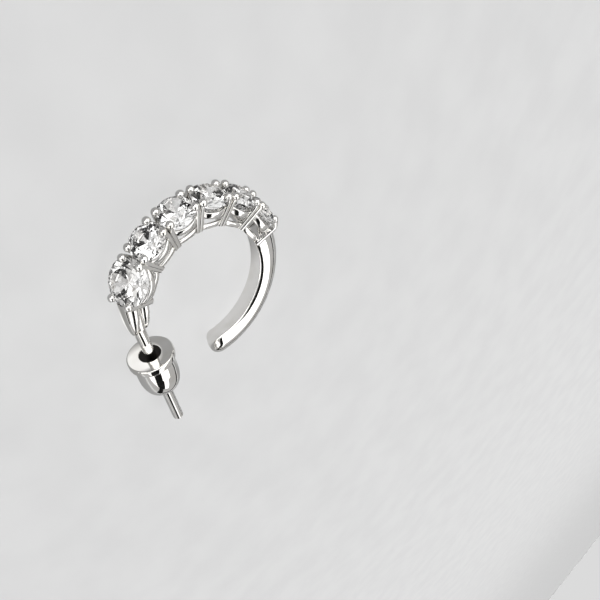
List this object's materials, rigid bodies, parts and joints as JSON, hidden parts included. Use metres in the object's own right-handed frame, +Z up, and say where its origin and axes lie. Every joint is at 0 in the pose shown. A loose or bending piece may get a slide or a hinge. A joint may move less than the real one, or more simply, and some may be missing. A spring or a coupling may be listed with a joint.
{
  "type": "hoop earring",
  "caption": "Open hoop earring: a canted arc of claw-set round clear stones, a plain domed shank, a straight post and a sliding bullet ear back.",
  "frame": {"origin": "middle of the bounding box's base, on the table that the earring lies on", "axes": "+Z up from the table, within two degrees of the ring's own axis; +Y toward the row of stones; +X from the row's first stone, the one by the post, toward the shank"},
  "size_m": [0.015, 0.02, 0.0038],
  "materials": {
    "white_metal": "mirror polished",
    "clear_stone": "clear, faceted"
  },
  "bodies": {
    "mount": {"hoop_mount": "white_metal", "stone_1": "clear_stone", "stone_2": "clear_stone", "stone_3": "clear_stone", "stone_4": "clear_stone", "stone_5": "clear_stone", "stone_6": "clear_stone"},
    "back": {"ear_back": "white_metal"}
  },
  "joints": [
    {"name": "ear_back_slide", "type": "slide", "parent": "mount", "child": "back", "axis": [0.38, -0.9242, -0.0385], "range_m": [-0.0019, 0.0083]}
  ]
}
